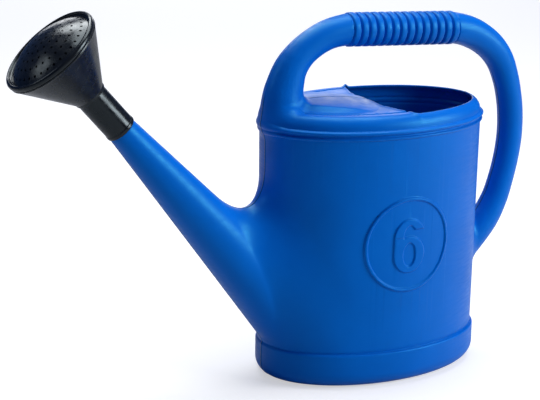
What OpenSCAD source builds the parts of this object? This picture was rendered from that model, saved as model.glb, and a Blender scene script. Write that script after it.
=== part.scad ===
// Watering can: one hollow blow-moulded body (tank, spout and handle) with a push-on sprinkler rose.
// Millimetres. Z is up, the ground is z = 0 and the origin is the middle of the flat base.
// The spout points to -X, the handle comes down at the back on +X and the raised badge faces -Y.

/* [Tank] */
// Half of the tank's length at the foot band
tank_half_length = 114; // [104:1:120]
// Half of the tank's width at the foot band
tank_half_width = 73; // [66:1:78]
// Height of the deck and of the filling mouth's edge
tank_height = 257; // [254:1:262]
// Thickness of the moulded wall
wall = 2.5; // [2:0.5:3]
// Radius of the edge between the wall and the base
base_edge = 14; // [8:1:16]
// Height of the top of the foot band
band_top = 33.6; // [28:0.2:36]
// How far the foot band stands out from the wall
band_step = 2.6; // [1:0.2:3]
// How much wider the wall is at the top than at the foot, on each side
wall_taper = 1; // [0.5:0.5:2]
// Forward lean of the tank from the base to the rim
tank_lean = 3; // [0:0.5:4]

/* [Rim and deck] */
// Height of the lower edge of the pair of beads under the rim
bead_low = 236.6; // [236:0.2:238]
// Height of their upper edge, where the shoulder starts
bead_top = 244.4; // [243:0.2:246]
// How far the beads stand out from the wall
bead_step = 1.6; // [1:0.2:2.4]
// Inset of the mouth's edge from the wall
rim_inset = 11; // [8:1:12]
// How high the deck bulges over the rim in front of the mouth
bulge_rise = 7.4; // [5:0.2:8]
// Lengthwise place of the bulge's top
bulge_x = -61; // [-66:1:-58]
// Radius of the bulge where it comes out of the deck
bulge_r = 57; // [52:1:58]
// Lengthwise place of the middle of the deck's hollow edge
lip_x = -10; // [-12:1:-6]
// Radius of that edge, seen from above
lip_r = 137; // [120:1:160]
// Height of the turned-up lip on the deck's edge
lip_height = 1.5; // [1:0.5:2.5]

/* [Spout] */
// Angle of the spout above the ground
spout_angle = 48.6; // [46:0.1:50]
// Lengthwise place and height at which the spout's axis meets the tank
spout_foot_x = -112; // [-116:1:-108]
spout_foot_height = 89; // [86:1:92]
// Length of the spout's axis from the tank to the shoulder under the rose
spout_length = 218; // [210:1:225]
// Radius of the spout at that shoulder
spout_tip_r = 13; // [12.8:0.1:13.4]
// Growth of the spout's radius for each millimetre towards the tank
spout_flare = 0.086; // [0.08:0.002:0.09]
// Radius of the spigot that the rose pushes on
spigot_r = 11.6; // [11.2:0.1:11.8]
// Length of the spigot
spigot_length = 30; // [24:1:34]

/* [Handle] */
// Height of the grip's axis at its front end
grip_height = 325; // [323:1:327]
// Slope of the grip's axis down towards the back, in degrees
grip_slope = 2.6; // [2:0.2:3]
// Length of the grip
grip_length = 116; // [114:1:118]
// Diameter of the grip over its ribs
grip_d = 31.4; // [29:0.2:32]
// Number of ribs on the grip
rib_count = 14; // [10:1:15]
// Depth of the grooves between the ribs
rib_depth = 1.8; // [1:0.2:2.2]

/* [Badge] */
// Height of the badge's middle
badge_height = 136; // [125:1:150]
// Outer radius of the badge's ring
badge_r = 44.5; // [40:0.5:48]
// Width of the badge's ring
badge_line = 3.2; // [2:0.2:4]
// How far the badge stands out from the wall
badge_relief = 1.2; // [0.8:0.2:1.6]
// Height of the capacity numeral
numeral_height = 51; // [46:1:56]
// Width of the numeral
numeral_width = 34; // [28:1:36]
// Stroke width of the numeral
numeral_stroke = 8.5; // [6:0.5:10]

/* [Rose] */
// Outer radius of the collar that pushes on the spout
collar_r = 14; // [13.8:0.1:14.6]
// Length of the collar
collar_length = 42; // [38:1:46]
// Clearance between the collar's bore and the spigot
collar_clearance = 0.05; // [0.03:0.01:0.1]
// Length of the rose's cone
cone_length = 52; // [50:1:56]
// Outer radius of the rose's rim
rose_r = 45.6; // [44:0.2:48]
// Thickness of the rose's wall
rose_wall = 1.8; // [1.6:0.1:2]
// Height of the domed sprinkler plate above its rim
dome_height = 13.5; // [9:0.5:15]
// Diameter of a sprinkler hole
hole_d = 1.7; // [1.4:0.1:2]
// Distance between the rings of holes
ring_pitch = 7.2; // [6.8:0.1:7.6]
// Distance between the holes round a ring
hole_pitch = 6.7; // [6:0.1:8]
// Number of rings of holes
hole_rings = 5; // [3:1:5]

/* [Hidden] */
blue = [0.03, 0.26, 0.74];
black = [0.10, 0.10, 0.11];
over = 1;                           // how far a cutter runs past the face that it cuts
round_sides = 96;                   // sides of a round part
tank_sides = 72;                    // sides of the oval tank
seat_gap = 0.12;                    // keeps a plate's oval edge clear of the facets round it
wall_low_r = tank_half_length - band_step;
wall_top_r = wall_low_r + wall_taper;
mouth_r = wall_top_r - rim_inset;
shoulder_rise = tank_height - bead_top;
deck_r = mouth_r - seat_gap;        // the deck's oval edge, inside the shoulder
bulge_ball_r = (bulge_r * bulge_r + bulge_rise * bulge_rise) / (2 * bulge_rise);
loft_length = 118;                  // length of the spout's axis inside the flared root
root_middle = 110.5;                // height of the middle of the root's outline on the tank
root_half_height = 73.5;
root_half_width = 44;
cone_base_r = collar_r + 0.9;
bore_r = spigot_r + collar_clearance;
rim_ring = 4.6;                     // width of the rolled ring round the sprinkler plate
dome_r = rose_r - rim_ring;
dome_base = spout_length + collar_length + cone_length + 2.2;

// ---- curves ----

// The smooth curve through a list of points: t counts the spans of the list
function curve_point(p, t) =
    let (n = len(p), i = min(floor(t), n - 2), u = t - i,
         a = p[max(0, i - 1)], b = p[i], c = p[i + 1], d = p[min(n - 1, i + 2)])
    0.5 * (2 * b + (c - a) * u + (2 * a - 5 * b + 4 * c - d) * pow(u, 2)
           + (3 * b - a - 3 * c + d) * pow(u, 3));
function cubic(a, b, c, d, t) =
    pow(1 - t, 3) * a + 3 * pow(1 - t, 2) * t * b + 3 * (1 - t) * t * t * c + pow(t, 3) * d;
function arc(cx, cz, rx, rz, from, to, steps) =
    [for (k = [0:steps]) let (a = from + (to - from) * k / steps) [cx + rx * cos(a), cz + rz * sin(a)]];

// The wall of a tube between two stacks of rings, outer and inner, with as many rings in each
module tube_between(outer, inner) {
    rings = len(outer);
    sides = len(outer[0]);
    function at(skin, ring, side) = (skin * rings + ring) * sides + side % sides;
    function quad(a, b, c, d) = [[a, b, c], [a, c, d]];
    last = rings - 1;
    faces = [for (j = [0:sides - 1]) each concat(
        [for (i = [0:last - 1])
            each quad(at(0, i, j), at(0, i, j + 1), at(0, i + 1, j + 1), at(0, i + 1, j))],
        [for (i = [0:last - 1])
            each quad(at(1, i, j + 1), at(1, i, j), at(1, i + 1, j), at(1, i + 1, j + 1))],
        quad(at(0, 0, j + 1), at(0, 0, j), at(1, 0, j), at(1, 0, j + 1)),
        quad(at(0, last, j), at(0, last, j + 1), at(1, last, j + 1), at(1, last, j)))];
    polyhedron(concat([for (r = outer) each r], [for (r = inner) each r]), faces);
}

// ---- the tank's oval form ----

// Turns an outline of [radius, height] into the tank's oval and leans it forward with its height.
// An inset surface gets its own ratio, so that the wall is as thick across the tank as along it.
module tank_form(outline, inset = 0) {
    multmatrix([[1, 0, -tank_lean / tank_height, 0],
                [0, (tank_half_width - inset) / (tank_half_length - inset), 0, 0],
                [0, 0, 1, 0]])
        rotate_extrude($fn = tank_sides) polygon(outline);
}
function wall_radius(z) = wall_low_r + wall_taper * (z - base_edge) / (bead_low - base_edge);
shoulder_arc = arc(mouth_r, bead_top, rim_inset, shoulder_rise, 0, 90, 5);
wall_line = [[wall_low_r, base_edge], [wall_top_r, bead_low]];

// The ball that gives the deck its bulge, kept inside the deck's oval
module deck_bulge(inset = 0) {
    edge = deck_r - inset;
    low = tank_height - wall;
    high = tank_height + bulge_rise + over;
    intersection() {
        tank_form([[0, low], [edge, low], [edge, high], [0, high]], inset);
        translate([bulge_x, 0, tank_height + bulge_rise - bulge_ball_r])
            sphere(r = bulge_ball_r - inset, $fn = 2 * round_sides);
    }
}

// The tank as one solid, which everything that grows out of it is cut to
module tank_envelope() {
    tank_form(concat([[0, 0], [wall_low_r, 0]], wall_line, shoulder_arc, [[0, tank_height]]));
    deck_bulge();
}

// The flat underside that the can stands on
module tank_floor() {
    flat_r = tank_half_length - base_edge - seat_gap;
    squash = tank_half_width / tank_half_length;
    color(blue) linear_extrude(wall)
        polygon(arc(0, 0, flat_r, flat_r * squash, 0, 360 - 360 / tank_sides, tank_sides - 1));
}

module tank_wall() {
    color(blue) difference() {
        tank_form(concat([[0, base_edge]], wall_line, [[wall_top_r, bead_top], [0, bead_top]]));
        tank_form([[0, base_edge - over], [wall_low_r - wall, base_edge - over],
                   [wall_low_r - wall, base_edge],
                   [wall_top_r - wall, bead_low], [wall_top_r - wall, bead_top + over],
                   [0, bead_top + over]], wall);
        // the water's way into the spout
        translate([-tank_half_length - over, 0, root_middle - 6]) rotate([0, 90, 0]) scale([1, 0.6, 1])
            cylinder(r = root_half_height - 16, h = tank_half_length / 2, $fn = round_sides);
    }
}

// The rounded edge under the wall, and the raised band round the wall's foot
module foot_band() {
    inner_edge = base_edge - wall;
    color(blue) difference() {
        tank_form(concat([[0, 0]],
                         arc(tank_half_length - base_edge, base_edge, base_edge, base_edge, -90, 0, 5),
                         [[tank_half_length, band_top - 1], [tank_half_length - 0.5, band_top],
                          [wall_radius(band_top + 0.4), band_top + 0.4], [wall_low_r, base_edge],
                          [0, base_edge]]));
        tank_form([[0, -over], [tank_half_length - base_edge, -over], [tank_half_length - base_edge, wall],
                   [0, wall]]);
        tank_form(concat([[0, wall]],
                         arc(wall_low_r - wall - inner_edge, base_edge, inner_edge, inner_edge, -90, 0, 3),
                         [[wall_low_r - wall, base_edge + over], [0, base_edge + over]]), wall);
    }
}

// Two thin beads, one above the other
module rim_bead() {
    bead_half = (bead_top - bead_low) / 5;
    core_r = wall_top_r + 0.3;
    function bead(z) = arc(core_r, z, bead_step - 0.3, bead_half, -90, 90, 4);
    color(blue) tank_form(concat([[wall_top_r, bead_low]], bead(bead_low + bead_half),
                                 bead(bead_top - bead_half), [[wall_top_r, bead_top]]));
}

module rim_shoulder() {
    color(blue) difference() {
        tank_form(concat([[mouth_r, bead_top]], shoulder_arc));
        tank_form(concat([[0, bead_top - over], [wall_top_r - wall, bead_top - over]],
                         arc(mouth_r, bead_top, rim_inset - wall, shoulder_rise - wall, 0, 90, 4),
                         [[0, tank_height - wall]]), wall);
    }
}

// The plate over the front of the tank: it bulges, and its hollow edge turns up a little at the mouth
module front_deck() {
    lip_axis_x = lip_x + lip_r;
    high = tank_height + bulge_rise;
    color(blue) difference() {
        intersection() {
            tank_form([[0, bead_top], [deck_r, bead_top], [deck_r, high], [0, high]]);
            union() {
                translate([-tank_half_length, -tank_half_width, tank_height - wall])
                    cube([tank_half_length + tank_half_width, 2 * tank_half_width, wall]);
                translate([lip_axis_x, 0, tank_height - wall])
                    cylinder(r = lip_r + wall, h = wall + lip_height, $fn = 2 * round_sides);
                deck_bulge();
            }
        }
        deck_bulge(wall);
        translate([lip_axis_x, 0, bead_top]) cylinder(r = lip_r, h = tank_height, $fn = 2 * round_sides);
    }
}

// ---- badge on the side of the tank ----

// Raises a flat outline, drawn in [length, height], off the tank's -Y side
module raised_on_side() {
    intersection() {
        translate([0, 0, badge_height]) rotate([90, 0, 0]) linear_extrude(tank_half_width + 2 * badge_relief)
            children();
        difference() {
            tank_form([for (p = concat([[-badge_relief, base_edge]], wall_line, [[-badge_relief, bead_low]]))
                       p + [badge_relief, 0]], -badge_relief);
            tank_form(concat([[0, base_edge - over], [wall_low_r, base_edge - over]], wall_line,
                             [[wall_top_r, bead_low + over], [0, bead_low + over]]));
        }
    }
}

module capacity_ring() {
    color(blue) raised_on_side() difference() {
        circle(r = badge_r, $fn = round_sides);
        circle(r = badge_r - badge_line, $fn = round_sides);
    }
}

// The litres that the tank holds, as a plain six: a round bowl, a straight back and an open upper bow
module capacity_numeral() {
    bow_r = numeral_width / 2;
    bow_z = numeral_height / 2 - bow_r;
    terminal = 5;                   // how far the upper bow's end stops above its middle
    color(blue) raised_on_side() difference() {
        union() {
            translate([0, -bow_z]) circle(r = bow_r, $fn = round_sides);
            translate([-bow_r, -bow_z]) square([numeral_stroke, 2 * bow_z]);
            intersection() {
                translate([0, bow_z]) circle(r = bow_r, $fn = round_sides);
                union() {
                    translate([-bow_r, bow_z]) square([bow_r, bow_r]);
                    translate([0, bow_z + terminal]) square([bow_r, bow_r]);
                }
            }
        }
        translate([0, -bow_z]) circle(r = bow_r - numeral_stroke, $fn = round_sides);
        intersection() {
            translate([0, bow_z]) circle(r = bow_r - numeral_stroke, $fn = round_sides);
            translate([-bow_r, bow_z]) square([2 * bow_r, bow_r]);
        }
    }
}

// ---- spout ----

// Places its children on the spout's axis: z is the distance from the tank along the axis
module on_spout_axis() {
    translate([spout_foot_x, 0, spout_foot_height]) rotate([0, spout_angle - 90, 0]) children();
}
module turned_on_spout(outline) {
    on_spout_axis() rotate_extrude($fn = round_sides) polygon(outline);
}
function spout_radius(length) = spout_tip_r + spout_flare * (spout_length - length);

// The flared root: each rail runs from the round spout down its slope and out on to the tank's wall
module spout_root() {
    sides = 32;
    spans = 8;
    start_pull = 48;
    end_pull = 18;
    axis = [-cos(spout_angle), 0, sin(spout_angle)];
    across = [sin(spout_angle), 0, cos(spout_angle)];
    bury = 5;                       // how far the rails' ends reach into the wall, which they are cut to
    start = [spout_foot_x, 0, spout_foot_height] + loft_length * axis;
    function rail(a, inset, t) =
        let (out = cos(a) * across + [0, sin(a), 0],
             y = (root_half_width - inset) * sin(a), z = root_middle + (root_half_height - inset) * cos(a),
             first = start + (spout_radius(loft_length) - inset) * out,
             last = [bury - tank_half_length * sqrt(1 - pow(y / tank_half_width, 2)), y, z])
        cubic(first, first + start_pull * (spout_flare * out - axis),
              last - end_pull * [0.7, 0.7 * sin(a), 0.7 * cos(a)], last, t);
    function rings(inset) =
        [for (i = [0:spans]) [for (j = [0:sides - 1]) rail(-360 * j / sides, inset, i / spans)]];
    color(blue) difference() {
        tube_between(rings(0), rings(wall));
        tank_envelope();
    }
}

module spout_tube() {
    root_r = spout_radius(loft_length);
    color(blue) turned_on_spout([[root_r - wall, loft_length], [root_r, loft_length],
                                 [spout_tip_r, spout_length], [spout_tip_r - wall, spout_length]]);
}

module spout_spigot() {
    color(blue) on_spout_axis() translate([0, 0, spout_length]) difference() {
        cylinder(r = spigot_r, h = spigot_length, $fn = round_sides);
        translate([0, 0, -over]) cylinder(r = spigot_r - 2, h = spigot_length + 2 * over, $fn = round_sides);
    }
}

// ---- handle ----

grip_front = [-34, grip_height];
grip_along = [cos(grip_slope), -sin(grip_slope)];
grip_back = grip_front + grip_length * grip_along;
grip_end_d = grip_d - 2.4;

// Stations along a handle post: [x, z, thickness, width across]
front_stations = [[-98, 251, 41, 42], [-98.3, 262, 39, 38], [-96.7, 275, 36, 33.5], [-90.7, 293, 31, 29.5],
                  [-79.8, 306.5, 27.8, 27.5], [-65, 316.5, 27.2, 27.2], [-50, 322.5, 27.8, 27.8],
                  [grip_front.x, grip_front.y, grip_end_d, grip_end_d]];
rear_stations = [[grip_back.x, grip_back.y, grip_end_d, grip_end_d], [97, 316.2, 29, 28.8],
                 [113, 309.2, 28.8, 28.4], [128, 298.5, 28.2, 27.8], [139, 285.5, 27, 27],
                 [146, 271, 25.8, 26], [151.5, 254, 25, 25.5], [155.5, 233, 25, 25],
                 [156.5, 210, 24.8, 25], [154, 187, 24.6, 25],
                 [149, 165, 25, 25], [142, 144.2, 26.2, 26], [128.6, 122.5, 28.8, 28], [98, 90.5, 30, 30]];

// A hollow post through its stations; its end ring at the grip is square to the grip
module handle_post(stations, grip_end) {
    sides = 20;
    per_span = 2;
    count = (len(stations) - 1) * per_span;
    function heading(t) =
        t == grip_end ? grip_along
            : let (step = curve_point(stations, min(len(stations) - 1, t + 0.02))
                        - curve_point(stations, max(0, t - 0.02))) [step.x, step.y] / norm([step.x, step.y]);
    function ring(t, inset) =
        let (here = curve_point(stations, t), along = heading(t))
        [for (j = [0:sides - 1]) let (a = 360 * j / sides, r = (here[2] / 2 - inset) * cos(a))
            [here.x + along.y * r, (here[3] / 2 - inset) * sin(a), here.y - along.x * r]];
    function rings(inset) = [for (i = [0:count]) ring(i / per_span, inset)];
    color(blue) difference() {
        tube_between(rings(0), rings(wall));
        tank_envelope();
    }
}
module handle_front_post() { handle_post(front_stations, len(front_stations) - 1); }
module handle_rear_post() { handle_post(rear_stations, 0); }

module handle_grip() {
    pitch = grip_length / rib_count;
    crest = grip_d / 2;
    // points of a rib's outline: how far down from its crest, and how far along its pitch
    rib = [[rib_depth, 0.08], [0.4, 0.24], [0, 0.5], [0.4, 0.76], [rib_depth, 0.92]];
    ribs = [for (k = [0:rib_count - 1]) for (p = rib) [crest - p.x, (k + p.y) * pitch]];
    bore = grip_end_d / 2 - wall;
    color(blue) translate([grip_front.x, 0, grip_front.y]) rotate([0, 90 + grip_slope, 0])
        rotate_extrude($fn = round_sides)
            polygon(concat([[bore, 0], [crest - rib_depth, 0]], ribs,
                           [[crest - rib_depth, grip_length], [bore, grip_length]]));
}

// ---- rose ----

module rose_collar() {
    low = spout_length;
    high = spout_length + collar_length;
    color(black) turned_on_spout([[bore_r, low], [collar_r - 0.3, low], [collar_r, low + 0.6],
                                  [collar_r, high], [bore_r, high]]);
}

module rose_cone() {
    low = spout_length + collar_length;
    high = low + cone_length;
    mouth = rose_r - 0.7;
    slant = rose_wall / cos(atan((mouth - cone_base_r) / cone_length));
    color(black) turned_on_spout([[bore_r, low], [cone_base_r, low], [mouth, high], [mouth - slant, high],
                                  [cone_base_r - slant, low + 1.5], [bore_r, low + 1.5]]);
}

module rose_plate() {
    low = spout_length + collar_length + cone_length;
    ball_r = (dome_r * dome_r + dome_height * dome_height) / (2 * dome_height);
    color(black) difference() {
        union() {
            turned_on_spout([[dome_r - 1.6, low], [rose_r - 0.8, low], [rose_r, low + 1], [rose_r, low + 3.4],
                             [rose_r - 1.2, low + 5], [rose_r - 3, low + 5], [dome_r + 0.6, low + 3.4],
                             [dome_r, dome_base], [dome_r - 1.6, dome_base]]);
            on_spout_axis() intersection() {
                translate([0, 0, dome_base + dome_height - ball_r]) difference() {
                    sphere(r = ball_r, $fn = round_sides);
                    sphere(r = ball_r - rose_wall, $fn = round_sides);
                }
                translate([0, 0, dome_base - 1])
                    cylinder(r = dome_r - 0.4, h = dome_height + 2, $fn = round_sides);
            }
        }
        on_spout_axis() for (ring = [0:hole_rings]) {
            holes = max(1, round(2 * PI * ring * ring_pitch / hole_pitch));
            for (k = [0:holes - 1]) rotate([0, 0, 360 * k / holes]) translate([ring * ring_pitch, 0, low])
                cylinder(d = hole_d, h = dome_height + 8, $fn = 16);
        }
    }
}

tank_floor();
tank_wall();
foot_band();
rim_bead();
rim_shoulder();
front_deck();
capacity_ring();
capacity_numeral();
spout_root();
spout_tube();
spout_spigot();
handle_front_post();
handle_grip();
handle_rear_post();
rose_collar();
rose_cone();
rose_plate();
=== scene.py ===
"""The looks of a blow-moulded watering can and its push-on sprinkler rose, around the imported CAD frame.

Shapes are worked out in millimetres in the CAD's own frame, and written to meshes in metres.
The can is one moulding, so it is one seamless skin: its distance field is sampled on a grid and meshed.
"""

import math

import bpy
import numpy as np
from mathutils import Matrix, Vector
from mathutils.geometry import delaunay_2d_cdt


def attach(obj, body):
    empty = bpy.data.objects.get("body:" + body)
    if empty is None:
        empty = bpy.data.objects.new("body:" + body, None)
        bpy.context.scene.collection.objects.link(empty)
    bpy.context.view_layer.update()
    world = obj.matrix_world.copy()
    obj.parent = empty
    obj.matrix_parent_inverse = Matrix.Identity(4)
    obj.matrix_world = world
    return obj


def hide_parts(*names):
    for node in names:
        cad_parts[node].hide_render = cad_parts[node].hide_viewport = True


MM = 0.001

# Tank
HALF_LENGTH, HALF_WIDTH, HEIGHT = 114.0, 73.0, 257.0
LEAN = 3.0
WALL = 2.5
MOUTH_X, MOUTH_BOW, MOUTH_HALF_WIDTH, MOUTH_INSET = -10.0, 14.0, 62.0, 10.4
MOUTH_CUT_Z, MOUTH_CUT_REACH = 266.0, 20.0
DECK_X, DECK_RISE, DECK_HALF_LENGTH, DECK_HALF_WIDTH = -61.0, 7.4, 57.0, 55.0
SEAM_HEIGHT, SEAM_HALF_WIDTH = 0.3, 0.75
BADGE_X, BADGE_HEIGHT, BADGE_R, BADGE_LINE, BADGE_RELIEF = -1.2, 136.0, 44.7, 2.6, 1.6
NUMERAL_HEIGHT, NUMERAL_WIDTH, BOW_HEIGHT = 51.0, 32.5, 34.5
UPRIGHT_STROKE, LEVEL_STROKE = 9.6, 5.8
# Spout
SPOUT_FOOT = np.array([-112.0, 0.0, 89.0])
SPOUT_ANGLE = math.radians(48.6)
SPOUT_LENGTH, SPOUT_TIP_R, SPOUT_FLARE = 218.0, 13.0, 0.086
SPOUT_BURIED, BORE_CUT_START = 60.0, 18.0
SPIGOT_R, SPIGOT_LENGTH, SPIGOT_WALL = 11.6, 30.0, 2.0
ROOT_FILLET, ROOT_FILLET_ABOVE = 5.0, 45.0
# Handle
GRIP_FRONT, GRIP_LENGTH, GRIP_SLOPE = (-34.0, 325.0), 116.0, math.radians(2.6)
GRIP_END_D, RIB_COUNT, RIB_DEPTH, RIB_CREST = 29.0, 14, 2.2, 1.3
HANDLE_FILLET = 9.0
# Rose
COLLAR_R, COLLAR_LENGTH, BORE_R = 14.0, 42.0, 11.65
CONE_BASE_R, CONE_LENGTH = 14.9, 52.0
ROSE_R, ROSE_WALL, DOME_R, DOME_HEIGHT = 45.6, 1.8, 41.0, 13.5
HOLE_R, RING_PITCH, HOLE_PITCH, HOLE_RINGS = 1.05, 7.2, 6.7, 5
ROSE_SIDES, HOLE_SIDES, DOME_RINGS, DOME_STEP = 128, 14, 24, 1.9
# Meshing
FULL_STEP, QUICK_STEP, MOST_TRIANGLES = 1.1, 1.7, 195000
BOX_LOW, BOX_HIGH = (-291.0, -79.2, -4.4), (176.0, 78.0, 346.0)

SPOUT_AXIS = np.array([-math.cos(SPOUT_ANGLE), 0.0, math.sin(SPOUT_ANGLE)])
SPOUT_UP = np.array([math.sin(SPOUT_ANGLE), 0.0, math.cos(SPOUT_ANGLE)])

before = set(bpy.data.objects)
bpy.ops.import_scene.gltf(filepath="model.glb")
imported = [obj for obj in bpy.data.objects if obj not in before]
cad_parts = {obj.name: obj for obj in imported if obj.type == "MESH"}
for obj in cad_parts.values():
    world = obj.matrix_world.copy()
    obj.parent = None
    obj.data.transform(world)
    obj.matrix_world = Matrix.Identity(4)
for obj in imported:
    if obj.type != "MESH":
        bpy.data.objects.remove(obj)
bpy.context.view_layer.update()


# ---- camera, light and floor ----

def add_camera():
    azimuth, elevation, roll = math.radians(-28.37), math.radians(15.86), math.radians(1.35)
    target, distance = Vector((-0.1085, 0.0, 0.1721)), 1.512
    back = Vector((math.sin(azimuth) * math.cos(elevation), -math.cos(azimuth) * math.cos(elevation),
                   math.sin(elevation)))
    level_right = Vector((math.cos(azimuth), math.sin(azimuth), 0.0))
    level_up = back.cross(level_right)
    right = level_right * math.cos(roll) + level_up * math.sin(roll)
    up = level_up * math.cos(roll) - level_right * math.sin(roll)
    place = target + distance * back
    data = bpy.data.cameras.new("camera")
    data.lens = 110.2
    data.sensor_width = 36.0
    camera = bpy.data.objects.new("camera", data)
    bpy.context.collection.objects.link(camera)
    rows = [[right[i], up[i], back[i], place[i]] for i in range(3)]
    camera.matrix_world = Matrix(rows + [[0, 0, 0, 1]])
    bpy.context.scene.camera = camera


def add_softbox(name, place, aim, width, height, power, only_gleams=False):
    data = bpy.data.lights.new(name, "AREA")
    data.shape = "RECTANGLE"
    data.size = width
    data.size_y = height
    data.energy = power
    lamp = bpy.data.objects.new(name, data)
    bpy.context.collection.objects.link(lamp)
    lamp.location = place
    lamp.rotation_euler = (Vector(aim) - Vector(place)).to_track_quat("-Z", "Y").to_euler()
    lamp.visible_diffuse = not only_gleams


def add_stage_plane(name, corners, tone, glow):
    """A pale paper plane; its glow lifts it to white in the picture without lighting the can."""
    mesh = bpy.data.meshes.new(name)
    mesh.from_pydata(corners, [], [(0, 1, 2, 3)])
    plane = bpy.data.objects.new(name, mesh)
    bpy.context.collection.objects.link(plane)
    material = bpy.data.materials.new(name + "_paper")
    material.use_nodes = True
    tree = material.node_tree
    shader = tree.nodes["Principled BSDF"]
    shader.inputs["Base Color"].default_value = (tone, tone, tone, 1.0)
    shader.inputs["Roughness"].default_value = 0.9
    shader.inputs["Specular IOR Level"].default_value = 0.1
    shader.inputs["Emission Color"].default_value = (glow, glow, glow, 1.0)
    seen = tree.nodes.new("ShaderNodeLightPath")
    tree.links.new(seen.outputs["Is Camera Ray"], shader.inputs["Emission Strength"])
    mesh.materials.append(material)


def add_studio():
    middle = (-0.05, 0.0, 0.17)
    rose = (-0.31, 0.0, 0.32)
    add_softbox("key", (1.5, -1.35, 0.95), middle, 1.0, 1.0, 38.0)
    add_softbox("top", (0.15, 0.30, 2.0), middle, 1.6, 1.2, 36.0)
    add_softbox("rear", (1.1, 2.6, 0.9), middle, 2.0, 1.0, 13.0)
    add_softbox("fill", (-1.2, -2.3, 1.2), middle, 1.1, 1.1, 1.0)
    add_softbox("dome_high", (-0.15, 0.90, 1.28), rose, 0.6, 0.4, 6.5, True)
    add_softbox("dome_low", (-1.35, 0.48, 1.00), rose, 0.4, 0.5, 1.5, True)

    world = bpy.data.worlds.new("studio")
    world.use_nodes = True
    background = world.node_tree.nodes["Background"]
    background.inputs["Color"].default_value = (0.16, 0.36, 1.0, 1.0)
    background.inputs["Strength"].default_value = 0.15
    bpy.context.scene.world = world
    bpy.context.scene.view_settings.view_transform = "Standard"

    side = 7.0
    under = -0.0004
    corners = [(-side, -side, under), (side, -side, under), (side, side, under), (-side, side, under)]
    add_stage_plane("floor", corners, tone=0.60, glow=0.54)


# ---- distances ----

def smoothstep(low, high, value):
    t = np.clip((value - low) / (high - low), 0.0, 1.0)
    return t * t * (3.0 - 2.0 * t)


def round_union(a, b, radius):
    """The nearer of two surfaces, with the hollow corner between them filled to a radius."""
    u, v = np.maximum(radius - a, 0.0), np.maximum(radius - b, 0.0)
    return np.maximum(radius, np.minimum(a, b)) - np.sqrt(u * u + v * v)


def soft_max(a, b, radius):
    h = np.maximum(radius - np.abs(a - b), 0.0) / radius
    return np.maximum(a, b) + h * h * radius * 0.25


def oval_distance(x, y, half_x, half_y):
    """Distance from an ellipse, close to true near its line; the half axes may be arrays."""
    k = np.sqrt((x / half_x) ** 2 + (y / half_y) ** 2) + 1e-6
    slope = np.sqrt((x / half_x ** 2) ** 2 + (y / half_y ** 2) ** 2) + 1e-6 / half_y
    return (k - 1.0) * k / slope


def arc(cu, cz, ru, rz, start, end, steps):
    turns = np.radians(np.linspace(start, end, steps + 1))
    return [(cu + ru * math.cos(t), cz + rz * math.sin(t)) for t in turns]


class Table:
    """Values worked out once on a flat grid and read between its points."""

    def __init__(self, low, high, step, function):
        self.low, self.step = low, step
        self.counts = [int(round((high[i] - low[i]) / step)) + 1 for i in range(2)]
        axes = [low[i] + step * np.arange(self.counts[i]) for i in range(2)]
        grid = np.stack(np.meshgrid(*axes, indexing="ij"), -1).reshape(-1, 2)
        self.values = function(grid).reshape(self.counts[0], self.counts[1], -1).astype(np.float32)

    def read(self, a, b):
        fa = np.clip((a - self.low[0]) / self.step, 0.0, self.counts[0] - 1.001)
        fb = np.clip((b - self.low[1]) / self.step, 0.0, self.counts[1] - 1.001)
        ia, ib = fa.astype(np.int32), fb.astype(np.int32)
        ta, tb = (fa - ia)[:, None], (fb - ib)[:, None]
        v = self.values
        low = v[ia, ib] * (1 - tb) + v[ia, ib + 1] * tb
        high = v[ia + 1, ib] * (1 - tb) + v[ia + 1, ib + 1] * tb
        return low * (1 - ta) + high * ta


# The tank's outline as (distance out from the foot band's oval, height), from the underside to the deck
PROFILE = np.array(
    # the recessed underside, the edge it stands on and the foot band
    [(-200.0, 1.0), (-23.0, 1.0), (-20.5, 0.0)]
    + arc(-14.0, 14.0, 14.0, 14.0, -90, 0, 12)
    + arc(-1.6, 31.8, 1.6, 1.8, 0, 90, 6)
    # the groove over the band and the wall
    + [(-3.0, 33.7), (-3.1, 34.4), (-2.6, 36.0), (-1.6, 235.6)]
    # the two beads and the round shoulder
    + arc(-1.7, 237.6, 2.1, 1.5, -80, 80, 6)
    + [(-1.7, 240.2)]
    + arc(-1.7, 242.9, 2.9, 2.0, -80, 80, 6)
    + arc(-12.3, 245.0, 10.4, 12.0, 0, 90, 12)
    # the crease round the deck
    + [(-16.2, 257.0), (-17.4, 255.4), (-18.4, 255.4), (-19.6, 257.0), (-200.0, 257.0)])


def profile_distance(points):
    best = np.full(len(points), np.inf)
    inside = np.zeros(len(points), bool)
    for a, b in zip(PROFILE[:-1], PROFILE[1:]):
        ab = b - a
        t = np.clip(((points - a) @ ab) / (ab @ ab), 0.0, 1.0)
        best = np.minimum(best, ((points - a - t[:, None] * ab) ** 2).sum(1))
        if a[1] != b[1]:
            between = (a[1] > points[:, 1]) != (b[1] > points[:, 1])
            inside ^= between & (points[:, 0] < a[0] + (points[:, 1] - a[1]) * ab[0] / ab[1])
    return np.where(inside, -1.0, 1.0) * np.sqrt(best)


TANK_TABLE = Table((-70.0, -14.0), (60.0, 282.0), 0.4, profile_distance)


def mouth_edge(y):
    """Lengthwise place of the deck's hollow edge, trimmed by hand and so a little wavy."""
    bow_line = MOUTH_X + MOUTH_BOW * (y / MOUTH_HALF_WIDTH) ** 2
    return bow_line + 0.35 * np.sin(0.31 * y + 0.4) + 0.25 * np.sin(0.73 * y)


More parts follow.
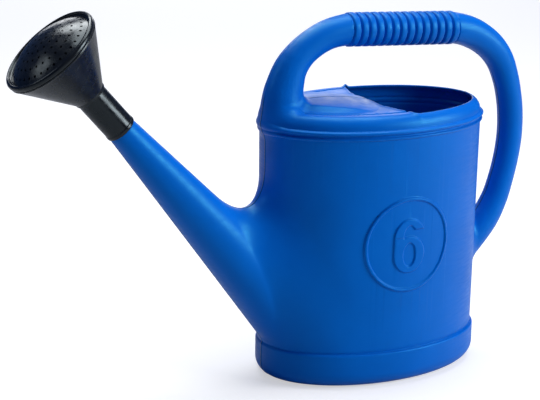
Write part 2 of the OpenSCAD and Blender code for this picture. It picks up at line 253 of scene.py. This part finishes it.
def deck_lift(x, y, out):
    """How high the deck stands over the rim: a bulge in front of the mouth and a small turned-up lip."""
    dome = 1.0 - ((x - DECK_X) / DECK_HALF_LENGTH) ** 2 - (y / DECK_HALF_WIDTH) ** 2
    bulge = DECK_RISE * np.clip(dome, 0.0, 1.0)
    lip = (0.9 + 1.6 * smoothstep(44.0, MOUTH_HALF_WIDTH, y)) * np.exp(-((x - mouth_edge(y)) / 2.6) ** 2)
    return bulge * smoothstep(-19.5, -31.0, out) + lip


def ring_line(x, z, radius, width):
    return np.abs(np.sqrt(x * x + z * z) - radius + width / 2) - width / 2


def bow(x, z):
    """The numeral's round part: an oval with thick sides and a thinner top and bottom."""
    half_x, half_z = NUMERAL_WIDTH / 2, BOW_HEIGHT / 2
    outside = oval_distance(x, z, half_x, half_z)
    counter = oval_distance(x, z, half_x - UPRIGHT_STROKE, half_z - LEVEL_STROKE)
    return np.maximum(outside, -counter)


def badge_relief(x, z):
    """Height of the raised ring and the plain six in it: a bowl, a straight back, an open upper bow."""
    ring = ring_line(x, z, BADGE_R, BADGE_LINE)
    z = z + 1.2
    bow_z = (NUMERAL_HEIGHT - BOW_HEIGHT) / 2
    terminal = 7.0
    bowl = bow(x, z + bow_z)
    half = UPRIGHT_STROKE / 2
    back = np.maximum(np.abs(x + NUMERAL_WIDTH / 2 - half) - half, np.abs(z) - bow_z)
    upper = np.maximum(bow(x, z - bow_z), np.where(x > 0.0, bow_z + terminal, bow_z) - z)
    line = np.minimum(np.minimum(ring, bowl), np.minimum(back, upper))
    return BADGE_RELIEF * smoothstep(0.9, -0.6, line)


def curve_through(stations, per_span):
    """Points on the smooth curve through a list of stations."""
    p = np.array(stations, float)
    points = []
    for i in range(len(p) - 1):
        a, b, c, d = p[max(0, i - 1)], p[i], p[i + 1], p[min(len(p) - 1, i + 2)]
        for u in np.linspace(0.0, 1.0, per_span, endpoint=False):
            points.append(0.5 * (2 * b + (c - a) * u + (2 * a - 5 * b + 4 * c - d) * u ** 2
                                 + (3 * b - a - 3 * c + d) * u ** 3))
    points.append(p[-1])
    return points


GRIP_ALONG = np.array([math.cos(GRIP_SLOPE), -math.sin(GRIP_SLOPE)])
GRIP_BACK = np.array(GRIP_FRONT) + GRIP_LENGTH * GRIP_ALONG
# Stations along the handle: x, z, thickness, width across
FRONT_STATIONS = [(-98, 251, 41, 42), (-98.3, 262, 39, 38), (-96.7, 275, 36, 33.5),
                  (-90.7, 293, 31, 29.5),
                  (-79.8, 306.5, 27.8, 27.5), (-65, 316.5, 27.2, 27.2), (-50, 322.5, 27.8, 27.8),
                  (GRIP_FRONT[0], GRIP_FRONT[1], GRIP_END_D, GRIP_END_D)]
REAR_STATIONS = [(GRIP_BACK[0], GRIP_BACK[1], GRIP_END_D, GRIP_END_D), (97, 316.2, 29, 28.8),
                 (113, 309.2, 28.8, 28.4), (128, 298.5, 28.2, 27.8), (139, 285.5, 27, 27),
                 (146, 271, 25.8, 26), (151.5, 254, 25, 25.5), (155.5, 233, 25, 25),
                 (156.5, 210, 24.8, 25), (154, 187, 24.6, 25), (149, 165, 25, 25),
                 (142, 144.2, 26.2, 26), (128.6, 122.5, 28.8, 28), (98, 90.5, 30, 30)]
HANDLE_LINE = np.array(curve_through(FRONT_STATIONS, 20)
                       + curve_through([FRONT_STATIONS[-1], REAR_STATIONS[0]], 120)
                       + curve_through(REAR_STATIONS, 20))


def nearest_on_handle(points):
    """Distance to the handle's middle line in its plane, and half its thickness and width there."""
    found = np.empty((len(points), 3))
    for start in range(0, len(points), 4000):
        some = points[start:start + 4000]
        gaps = ((some[:, None, :] - HANDLE_LINE[None, :, :2]) ** 2).sum(2)
        best = gaps.argmin(1)
        found[start:start + 4000, 0] = np.sqrt(gaps[np.arange(len(some)), best])
        found[start:start + 4000, 1:] = HANDLE_LINE[best, 2:] / 2
    return found


HANDLE_TABLE = Table((-140.0, 60.0), (190.0, 360.0), 1.0, nearest_on_handle)


def rib_height(x, z):
    """How far the grip's ribs stand out: broad crests with narrow grooves between them."""
    along = (x - GRIP_FRONT[0]) * GRIP_ALONG[0] + (z - GRIP_FRONT[1]) * GRIP_ALONG[1]
    part = np.mod(along * RIB_COUNT / GRIP_LENGTH, 1.0) - 0.5
    crest = RIB_CREST - 0.5 * (2 * part) ** 2
    groove = RIB_DEPTH * np.exp(-((0.5 - np.abs(part)) / 0.115) ** 2)
    on_grip = smoothstep(-0.8, 0.8, along) * smoothstep(GRIP_LENGTH + 0.8, GRIP_LENGTH - 0.8, along)
    return (crest - groove) * on_grip


def moulding(points):
    """Distance from the can's plastic, negative inside it."""
    x, y, z = points[:, 0], points[:, 1], points[:, 2]
    out = oval_distance(x + LEAN * z / HEIGHT, y, HALF_LENGTH, HALF_WIDTH)
    tank = TANK_TABLE.read(out, z - deck_lift(x, y, out) * smoothstep(246.0, 255.5, z))[:, 0]
    from_badge = x - BADGE_X
    on_side = (y < 0.0) & (np.abs(from_badge) < BADGE_R + 3) & (np.abs(z - BADGE_HEIGHT) < BADGE_R + 3)
    tank[on_side] -= badge_relief(from_badge[on_side], z[on_side] - BADGE_HEIGHT)

    from_foot = points - SPOUT_FOOT
    along = from_foot @ SPOUT_AXIS
    above = from_foot @ SPOUT_UP
    radius = np.sqrt(above * above + y * y)
    cone = (radius - SPOUT_TIP_R - SPOUT_FLARE * (SPOUT_LENGTH - along)) / math.hypot(1.0, SPOUT_FLARE)
    cone = np.maximum(soft_max(cone, along - SPOUT_LENGTH, 1.0), -SPOUT_BURIED - along)
    spigot = np.maximum(radius - SPIGOT_R, np.abs(along - SPOUT_LENGTH) - SPIGOT_LENGTH)
    spout = np.minimum(cone, spigot)
    upward = (1.0 + above / np.maximum(radius, 1e-3)) / 2
    body = round_union(tank, spout, ROOT_FILLET + ROOT_FILLET_ABOVE * upward ** 1.4)

    line = HANDLE_TABLE.read(x, z)
    ribs = rib_height(x, z)
    handle = oval_distance(line[:, 0], y, line[:, 1] + ribs, line[:, 2] + ribs)
    skin = round_union(body, handle, HANDLE_FILLET) - SEAM_HEIGHT * np.exp(-(y / SEAM_HALF_WIDTH) ** 2)

    shell = np.maximum(skin, -(body + WALL))
    mouth = np.maximum(out + MOUTH_INSET, mouth_edge(y) - x)
    mouth = np.maximum(mouth, np.abs(z - MOUTH_CUT_Z) - MOUTH_CUT_REACH)
    shell = soft_max(shell, -mouth, 1.2)
    bore = np.maximum(radius - SPIGOT_R + SPIGOT_WALL, SPOUT_LENGTH + BORE_CUT_START - along)
    return np.maximum(shell, -bore)


# ---- meshing the moulding ----

def in_chunks(function, points, size=300000):
    return np.concatenate([function(points[i:i + size]) for i in range(0, len(points), size)])


def sample_field(field, low, high, step):
    """The field's values on a grid, worked out in full only in the blocks that the surface may cross."""
    block = 8
    counts = [int(math.ceil((high[i] - low[i]) / (block * step))) for i in range(3)]
    axes = [low[i] + block * step * np.arange(counts[i] + 1) for i in range(3)]
    corners = np.stack(np.meshgrid(*axes, indexing="ij"), -1).reshape(-1, 3)
    coarse = in_chunks(field, corners).reshape([c + 1 for c in counts])
    near = np.full(counts, np.inf)
    for i in (0, 1):
        for j in (0, 1):
            for k in (0, 1):
                corner = coarse[i:i + counts[0], j:j + counts[1], k:k + counts[2]]
                near = np.minimum(near, np.abs(corner))
    fine = coarse[:-1, :-1, :-1].astype(np.float32)
    for axis in range(3):
        fine = np.repeat(fine, block, axis)
    active = np.argwhere(near < block * step + 3.0)
    offsets = np.stack(np.meshgrid(*[np.arange(block)] * 3, indexing="ij"), -1).reshape(-1, 3)
    for start in range(0, len(active), 600):
        index = (active[start:start + 600, None, :] * block + offsets).reshape(-1, 3)
        fine[index[:, 0], index[:, 1], index[:, 2]] = field(np.array(low) + index * step)
    return fine


def surface_nets(values, low, step):
    """Quads around the zero level of a grid of values."""
    inside = values < 0
    shape = [n - 1 for n in values.shape]

    def shifted(grid, offset):
        return grid[tuple(slice(o, o + n) for o, n in zip(offset, shape))]

    corner_offsets = [(i, j, k) for i in (0, 1) for j in (0, 1) for k in (0, 1)]
    count = sum(shifted(inside, o).astype(np.uint8) for o in corner_offsets)
    mixed = (count > 0) & (count < 8)
    cells = np.argwhere(mixed)
    ids = np.full(shape, -1, np.int32)
    ids[mixed] = np.arange(len(cells))
    total, hits = np.zeros((len(cells), 3)), np.zeros(len(cells))
    for axis in range(3):
        step_vector = np.eye(3, dtype=int)[axis]
        for offset in [o for o in corner_offsets if o[axis] == 0]:
            a = cells + offset
            b = a + step_vector
            va = values[a[:, 0], a[:, 1], a[:, 2]]
            vb = values[b[:, 0], b[:, 1], b[:, 2]]
            cross = (va < 0) != (vb < 0)
            share = np.where(cross, va / np.where(cross, va - vb, 1.0), 0.0)
            total += cross[:, None] * (np.array(offset) + share[:, None] * step_vector)
            hits += cross
    points = np.array(low) + (cells + total / hits[:, None]) * step

    quads = []
    for axis in range(3):
        b, c = np.eye(3, dtype=int)[(axis + 1) % 3], np.eye(3, dtype=int)[(axis + 2) % 3]
        first = inside[tuple(slice(0, -1) if i == axis else slice(1, -1) for i in range(3))]
        second = inside[tuple(slice(1, None) if i == axis else slice(1, -1) for i in range(3))]
        at = np.argwhere(first != second)
        starts_inside = first[at[:, 0], at[:, 1], at[:, 2]]
        at = at + b + c
        ring = [ids[tuple((at - o).T)] for o in (0 * b, b, b + c, c)]
        quad = np.stack(ring, 1)
        quads.append(np.where(starts_inside[:, None], quad, quad[:, ::-1]))
    return points, np.concatenate(quads)


def slope_of(field, points, reach=0.3):
    grad = np.empty_like(points)
    for axis in range(3):
        offset = reach * np.eye(3)[axis]
        grad[:, axis] = in_chunks(field, points + offset) - in_chunks(field, points - offset)
    return grad / (2 * reach)


def settle(field, points, rounds, most):
    """Moves points on to the field's zero level."""
    for _ in range(rounds):
        grad = slope_of(field, points)
        length = np.maximum(np.linalg.norm(grad, axis=1), 0.2)
        move = np.clip(in_chunks(field, points) / length, -most, most)
        points = points - (move / length)[:, None] * grad
    return points


def new_object(name, points, faces):
    mesh = bpy.data.meshes.new(name)
    mesh.from_pydata((np.asarray(points) * MM).tolist(), [], [tuple(f) for f in faces])
    piece = bpy.data.objects.new(name, mesh)
    bpy.context.collection.objects.link(piece)
    return piece


def mesh_points(mesh):
    flat = np.empty(len(mesh.vertices) * 3)
    mesh.vertices.foreach_get("co", flat)
    return flat.reshape(-1, 3) / MM


def make_can():
    step = FULL_STEP
    low = tuple(round(v / step) * step for v in BOX_LOW)
    values = sample_field(moulding, low, BOX_HIGH, step)
    points, quads = surface_nets(values, low, step)
    points = settle(moulding, points, 3, 0.5 * step)
    can = new_object("can_moulding", points, quads.tolist())
    if 2 * len(quads) > MOST_TRIANGLES:
        thin = can.modifiers.new("thin", "DECIMATE")
        thin.ratio = MOST_TRIANGLES / (2 * len(quads))
        thin.use_collapse_triangulate = True
        graph = bpy.context.evaluated_depsgraph_get()
        thinned = bpy.data.meshes.new_from_object(can.evaluated_get(graph))
        can.modifiers.clear()
        can.data = thinned
        thinned.name = "can_moulding"
        settled = settle(moulding, mesh_points(thinned), 2, 0.25)
        thinned.vertices.foreach_set("co", (settled * MM).ravel())
        thinned.update()
    mesh = can.data
    mesh.polygons.foreach_set("use_smooth", [True] * len(mesh.polygons))
    grad = slope_of(moulding, mesh_points(mesh))
    normals = grad / np.maximum(np.linalg.norm(grad, axis=1), 1e-6)[:, None]
    mesh.normals_split_custom_set_from_vertices(normals.tolist())
    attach(can, "can")
    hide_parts("tank_floor", "tank_wall", "foot_band", "rim_bead", "rim_shoulder", "front_deck",
                "capacity_ring", "capacity_numeral", "spout_root", "spout_tube", "spout_spigot",
                "handle_front_post", "handle_grip", "handle_rear_post")
    can.data.materials.clear()
    can.data.materials.append(blue_plastic())
    return can


# ---- rose ----

def rounded(outline, steps=5):
    """A closed outline of (radius, height, corner radius) with its corners rounded."""
    points = []
    count = len(outline)
    for i, (r, h, corner) in enumerate(outline):
        here = np.array([r, h])
        if corner == 0:
            points.append(here)
            continue
        before = np.array(outline[i - 1][:2]) - here
        after = np.array(outline[(i + 1) % count][:2]) - here
        a = here + before / np.linalg.norm(before) * corner
        b = here + after / np.linalg.norm(after) * corner
        for t in np.linspace(0.0, 1.0, steps):
            points.append((1 - t) ** 2 * a + 2 * t * (1 - t) * here + t * t * b)
    return np.array(points)


def on_spout(points):
    """Points given as across, sideways and along the spout's axis, in the CAD's frame."""
    points = np.asarray(points, float)
    side = np.array([0.0, 1.0, 0.0])
    return SPOUT_FOOT + points[:, :1] * SPOUT_UP + points[:, 1:2] * side + points[:, 2:] * SPOUT_AXIS


def lathe(outline, sides):
    turns = np.linspace(0.0, 2 * math.pi, sides, endpoint=False)
    points = [(r * math.cos(t), r * math.sin(t), h) for t in turns for r, h in outline]
    n = len(outline)
    faces = []
    for j in range(sides):
        for i in range(n):
            a, b = j * n + i, j * n + (i + 1) % n
            c, d = (j + 1) % sides * n + (i + 1) % n, (j + 1) % sides * n + i
            faces.append((a, b, c, d))
    return points, faces


def finish_rose_piece(piece, body, node, plastic):
    bpy.context.view_layer.update()
    mesh = piece.data
    mesh.polygons.foreach_set("use_smooth", [True] * len(mesh.polygons))
    mesh.set_sharp_from_angle(angle=math.radians(38))
    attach(piece, body)
    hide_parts(node)
    mesh.materials.append(plastic)


def make_collar(plastic):
    low, high = SPOUT_LENGTH, SPOUT_LENGTH + COLLAR_LENGTH
    outline = rounded([(BORE_R, low, 0.4), (COLLAR_R + 0.3, low, 0.5), (COLLAR_R + 0.3, low + 3.0, 0.5),
                       (COLLAR_R - 0.1, low + 3.6, 0.4), (COLLAR_R - 0.1, high, 0), (BORE_R, high, 0)])
    points, faces = lathe(outline, 96)
    collar = new_object("rose_collar_skin", on_spout(points), faces)
    finish_rose_piece(collar, "collar", "rose_collar", plastic)


def make_cone(plastic):
    low = SPOUT_LENGTH + COLLAR_LENGTH
    high = low + CONE_LENGTH
    mouth = ROSE_R - 0.9
    slant = ROSE_WALL / math.cos(math.atan((mouth - CONE_BASE_R) / CONE_LENGTH))
    outline = rounded([(BORE_R, low, 0), (CONE_BASE_R, low, 0.5), (CONE_BASE_R + 0.3, low + 2.6, 0.6),
                       (mouth, high - 1.6, 0.6), (mouth + 0.5, high - 1.2, 0.2),
                       (mouth + 0.5, high, 0.2), (mouth - slant, high, 0),
                       (CONE_BASE_R - slant, low + 1.5, 1.0), (BORE_R, low + 1.5, 0)])
    points, faces = lathe(outline, ROSE_SIDES)
    cone = new_object("rose_cone_skin", on_spout(points), faces)
    finish_rose_piece(cone, "rose_head", "rose_cone", plastic)


def hole_places():
    places = [(0.0, 0.0)]
    for ring in range(1, HOLE_RINGS + 1):
        count = round(2 * math.pi * ring * RING_PITCH / HOLE_PITCH)
        places += [(ring * RING_PITCH * math.cos(2 * math.pi * k / count),
                    ring * RING_PITCH * math.sin(2 * math.pi * k / count)) for k in range(count)]
    return places


def circle_points(cx, cy, r, sides):
    turns = [2 * math.pi * k / sides for k in range(sides)]
    return [Vector((cx + r * math.cos(t), cy + r * math.sin(t))) for t in turns]


def dome_layout(dome_edge):
    """The dome seen from its front: its points, the faces between its holes, and its closed loops."""
    places = hole_places()
    flat, edges = [], []

    def add_loop(cx, cy, r, sides):
        start = len(flat)
        flat.extend(circle_points(cx, cy, r, sides))
        edges.extend((start + k, start + (k + 1) % sides) for k in range(sides))
        return list(range(start, start + sides))

    def clear_of_holes(x, y, distance):
        return all((x - cx) ** 2 + (y - cy) ** 2 > distance ** 2 for cx, cy in places)

    rim = add_loop(0.0, 0.0, dome_edge, ROSE_SIDES)
    holes = [add_loop(cx, cy, HOLE_R, HOLE_SIDES) for cx, cy in places]
    # a second loop round each hole keeps the shading even there
    around_r = HOLE_R * 1.9
    for cx, cy in places:
        add_loop(cx, cy, around_r, HOLE_SIDES)
    for ring in range(1, DOME_RINGS):
        r = ring * DOME_R / DOME_RINGS
        for place in circle_points(0.0, 0.0, r, max(8, int(2 * math.pi * r / DOME_STEP))):
            if clear_of_holes(place.x, place.y, around_r + 0.5):
                flat.append(place)
    points, _, faces, source, _, _ = delaunay_2d_cdt(flat, edges, [], 1, 1e-5)
    kept = []
    for face in faces:
        cx = sum(points[i].x for i in face) / len(face)
        cy = sum(points[i].y for i in face) / len(face)
        if clear_of_holes(cx, cy, HOLE_R * 0.97):
            kept.append(tuple(face))
    new_index = {old: new for new, olds in enumerate(source) for old in olds}
    loops = [[new_index[i] for i in loop] for loop in holes + [rim[::-1]]]
    return np.array([(p.x, p.y) for p in points]), kept, loops


def make_plate(plastic):
    low = SPOUT_LENGTH + COLLAR_LENGTH + CONE_LENGTH
    base = low + 2.2
    ball_r = (DOME_R ** 2 + DOME_HEIGHT ** 2) / (2 * DOME_HEIGHT)
    middle = base + DOME_HEIGHT - ball_r
    dome_edge = DOME_R - 0.2

    def ball_height(r, distance):
        return middle + np.sqrt(distance ** 2 - r * r)

    xy, kept, loops = dome_layout(dome_edge)
    count = len(xy)
    r = np.minimum(np.hypot(xy[:, 0], xy[:, 1]), dome_edge)
    outer = np.column_stack([xy, ball_height(r, ball_r)])
    inner = np.column_stack([xy, ball_height(r, ball_r - ROSE_WALL)])
    faces = kept + [tuple(reversed([i + count for i in f])) for f in kept]
    for ring in loops:
        for a, b in zip(ring, ring[1:] + ring[:1]):
            faces.append((a, b, b + count, a + count))

    edge_top = float(ball_height(np.array(dome_edge), ball_r))
    rim_outline = rounded([(DOME_R - 1.6, low, 0), (ROSE_R - 0.8, low, 0.4), (ROSE_R, low + 1.2, 0.6),
                           (ROSE_R, low + 3.6, 1.1), (ROSE_R - 1.6, low + 5.0, 1.1),
                           (ROSE_R - 3.2, low + 5.0, 1.0), (DOME_R + 0.5, edge_top + 0.2, 0.5),
                           (DOME_R - 0.6, edge_top - 0.1, 0.2), (DOME_R - 1.6, edge_top - 0.8, 0)])
    rim_points, rim_faces = lathe(rim_outline, ROSE_SIDES)
    offset = 2 * count
    points = np.concatenate([outer, inner, np.array(rim_points)])
    faces += [tuple(i + offset for i in f) for f in rim_faces]
    plate = new_object("rose_plate_skin", on_spout(points), faces)
    finish_rose_piece(plate, "rose_head", "rose_plate", plastic)


# ---- materials ----

def new_material(name, color, roughness):
    material = bpy.data.materials.new(name)
    material.use_nodes = True
    tree = material.node_tree
    shader = tree.nodes["Principled BSDF"]
    shader.inputs["Base Color"].default_value = (*color, 1.0)
    shader.inputs["Roughness"].default_value = roughness
    return material, tree, shader


def add_node(tree, kind, **settings):
    node = tree.nodes.new(kind)
    for name, value in settings.items():
        if name in node.inputs:
            node.inputs[name].default_value = value
        else:
            setattr(node, name, value)
    return node


def grey(value):
    return (value, value, value)


def scaled_position(tree, scale):
    """Object coordinates, stretched."""
    place = add_node(tree, "ShaderNodeTexCoord")
    mapping = add_node(tree, "ShaderNodeMapping", Scale=scale)
    tree.links.new(place.outputs["Object"], mapping.inputs["Vector"])
    return mapping.outputs["Vector"]


def noise(tree, scale, vector, detail=3.0, roughness=0.55):
    node = add_node(tree, "ShaderNodeTexNoise", Scale=scale, Detail=detail, Roughness=roughness)
    tree.links.new(vector, node.inputs["Vector"])
    return node.outputs["Fac"]


def ramp(tree, value, stops):
    node = tree.nodes.new("ShaderNodeValToRGB")
    node.color_ramp.interpolation = "EASE"
    elements = node.color_ramp.elements
    while len(elements) < len(stops):
        elements.new(0.5)
    for element, (place, color) in zip(elements, stops):
        element.position = place
        element.color = (*color, 1.0)
    tree.links.new(value, node.inputs["Fac"])
    return node.outputs["Color"]


def bump(tree, height, strength, distance, before=None):
    node = add_node(tree, "ShaderNodeBump", Strength=strength, Distance=distance)
    tree.links.new(height, node.inputs["Height"])
    if before is not None:
        tree.links.new(before, node.inputs["Normal"])
    return node.outputs["Normal"]


def parting_line(tree):
    """How much a place is on the thin line where the mould's halves met, below the handle's arch."""
    place = add_node(tree, "ShaderNodeTexCoord")
    split = add_node(tree, "ShaderNodeSeparateXYZ")
    tree.links.new(place.outputs["Object"], split.inputs["Vector"])
    off_middle = add_node(tree, "ShaderNodeMath", operation="ABSOLUTE")
    tree.links.new(split.outputs["Y"], off_middle.inputs[0])
    across = {"From Min": 0.0011, "From Max": 0.0004, "To Max": 0.8}
    on_line = add_node(tree, "ShaderNodeMapRange", **across)
    tree.links.new(off_middle.outputs["Value"], on_line.inputs["Value"])
    below_arch = add_node(tree, "ShaderNodeMapRange", **{"From Min": 0.272, "From Max": 0.266})
    tree.links.new(split.outputs["Z"], below_arch.inputs["Value"])
    share = add_node(tree, "ShaderNodeMath", operation="MULTIPLY")
    tree.links.new(on_line.outputs["Result"], share.inputs[0])
    tree.links.new(below_arch.outputs["Result"], share.inputs[1])
    return share.outputs["Value"]


def blue_plastic():
    material, tree, shader = new_material("blue_polyethylene", (0.0, 0.12, 0.60), 0.4)
    links = tree.links
    shader.inputs["Specular IOR Level"].default_value = 0.4
    shader.inputs["Specular Tint"].default_value = (0.05, 0.8, 0.85, 1.0)
    even = scaled_position(tree, (1.0, 1.0, 1.0))
    flowed = scaled_position(tree, (1.0, 1.0, 9.0))
    clouds = noise(tree, 14.0, even, 4.0)
    color = ramp(tree, clouds, [(0.25, (0.0, 0.113, 0.54)), (0.75, (0.0, 0.129, 0.60))])
    seam = parting_line(tree)
    mixed = add_node(tree, "ShaderNodeMixRGB", Color2=(0.0, 0.05, 0.14, 1.0))
    links.new(seam, mixed.inputs["Fac"])
    links.new(color, mixed.inputs["Color1"])
    links.new(mixed.outputs["Color"], shader.inputs["Base Color"])
    grain = noise(tree, 900.0, even, 2.0)
    rough = ramp(tree, noise(tree, 60.0, flowed, 4.0), [(0.3, grey(0.33)), (0.7, grey(0.45))])
    links.new(rough, shader.inputs["Roughness"])
    ripples = noise(tree, 42.0, flowed, 5.0, 0.6)
    waves = noise(tree, 11.0, even, 2.0)
    normal = bump(tree, waves, 0.35, 0.0035)
    normal = bump(tree, ripples, 0.14, 0.0007, normal)
    normal = bump(tree, grain, 0.06, 0.0002, normal)
    normal = bump(tree, seam, 0.8, 0.0007, normal)
    links.new(normal, shader.inputs["Normal"])
    return material


def black_plastic():
    material, tree, shader = new_material("black_polypropylene", (0.012, 0.013, 0.014), 0.4)
    shader.inputs["Specular IOR Level"].default_value = 0.38
    shader.inputs["Specular Tint"].default_value = (0.75, 0.92, 1.0, 1.0)
    links = tree.links
    even = scaled_position(tree, (1.0, 1.0, 1.0))
    tones = [(0.3, (0.005, 0.006, 0.007)), (0.75, (0.009, 0.0095, 0.0095))]
    color = ramp(tree, noise(tree, 45.0, even, 4.0), tones)
    links.new(color, shader.inputs["Base Color"])
    rough = ramp(tree, noise(tree, 130.0, even, 3.0), [(0.3, grey(0.17)), (0.7, grey(0.30))])
    links.new(rough, shader.inputs["Roughness"])
    normal = bump(tree, noise(tree, 380.0, even, 3.0), 0.22, 0.0002)
    links.new(normal, shader.inputs["Normal"])
    return material


add_camera()
add_studio()
make_can()
rose_plastic = black_plastic()
make_collar(rose_plastic)
make_cone(rose_plastic)
make_plate(rose_plastic)
